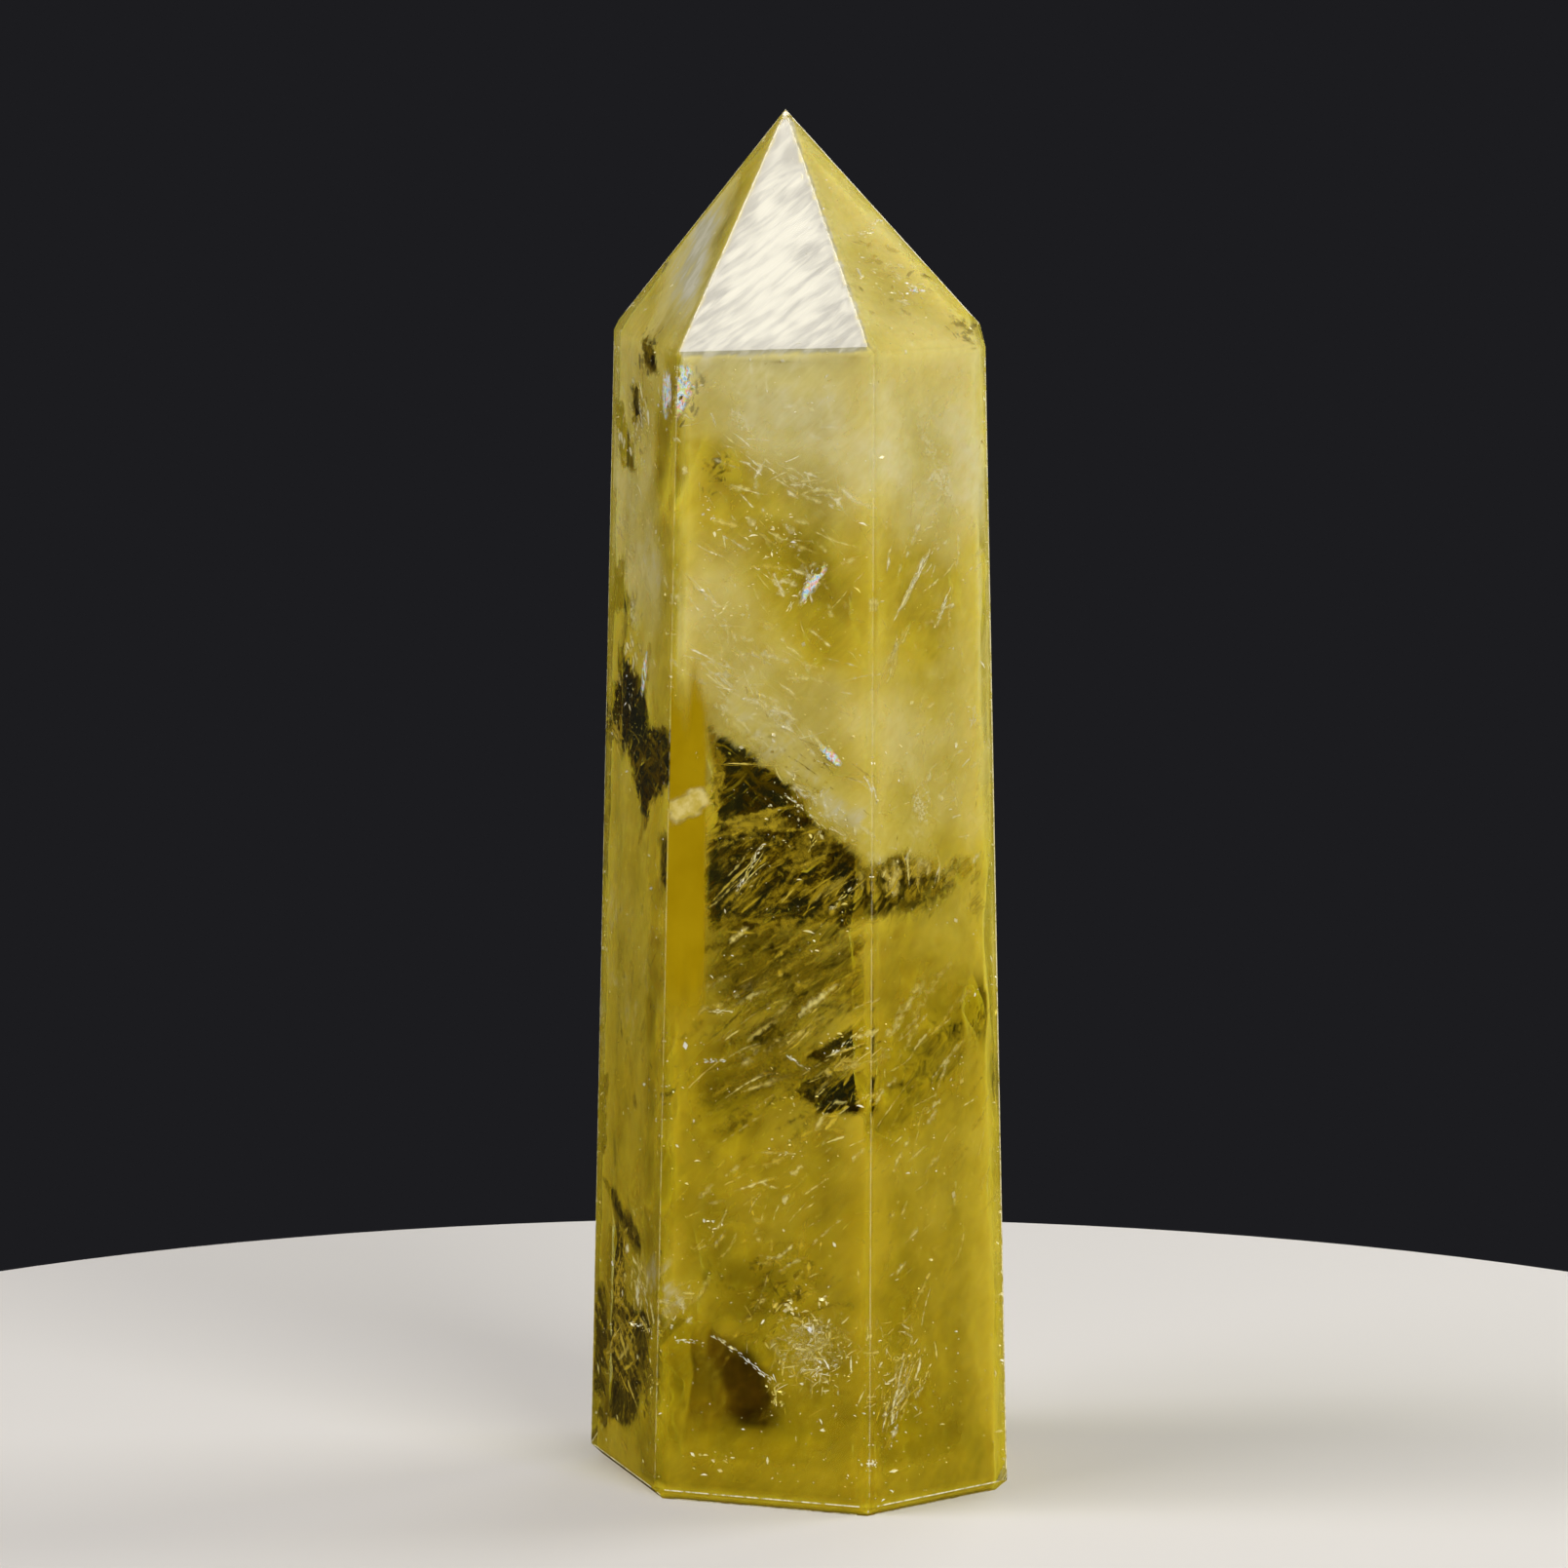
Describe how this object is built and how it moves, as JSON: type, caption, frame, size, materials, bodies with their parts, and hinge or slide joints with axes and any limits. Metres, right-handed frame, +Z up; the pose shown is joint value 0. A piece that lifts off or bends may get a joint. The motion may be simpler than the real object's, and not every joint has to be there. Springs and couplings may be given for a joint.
{
  "type": "citrine obelisk",
  "caption": "Polished six-sided tower of clear yellow quartz that narrows upwards to a faceted point and stands on its flat base.",
  "frame": {"origin": "middle of the base's outline, on the flat base", "axes": "+Z up through the point, -Y towards the front, +X to the right seen from the front"},
  "size_m": [0.0306, 0.0336, 0.1],
  "materials": {
    "citrine": "polished"
  },
  "bodies": {
    "root": {"citrine_point": "citrine"}
  },
  "joints": []
}
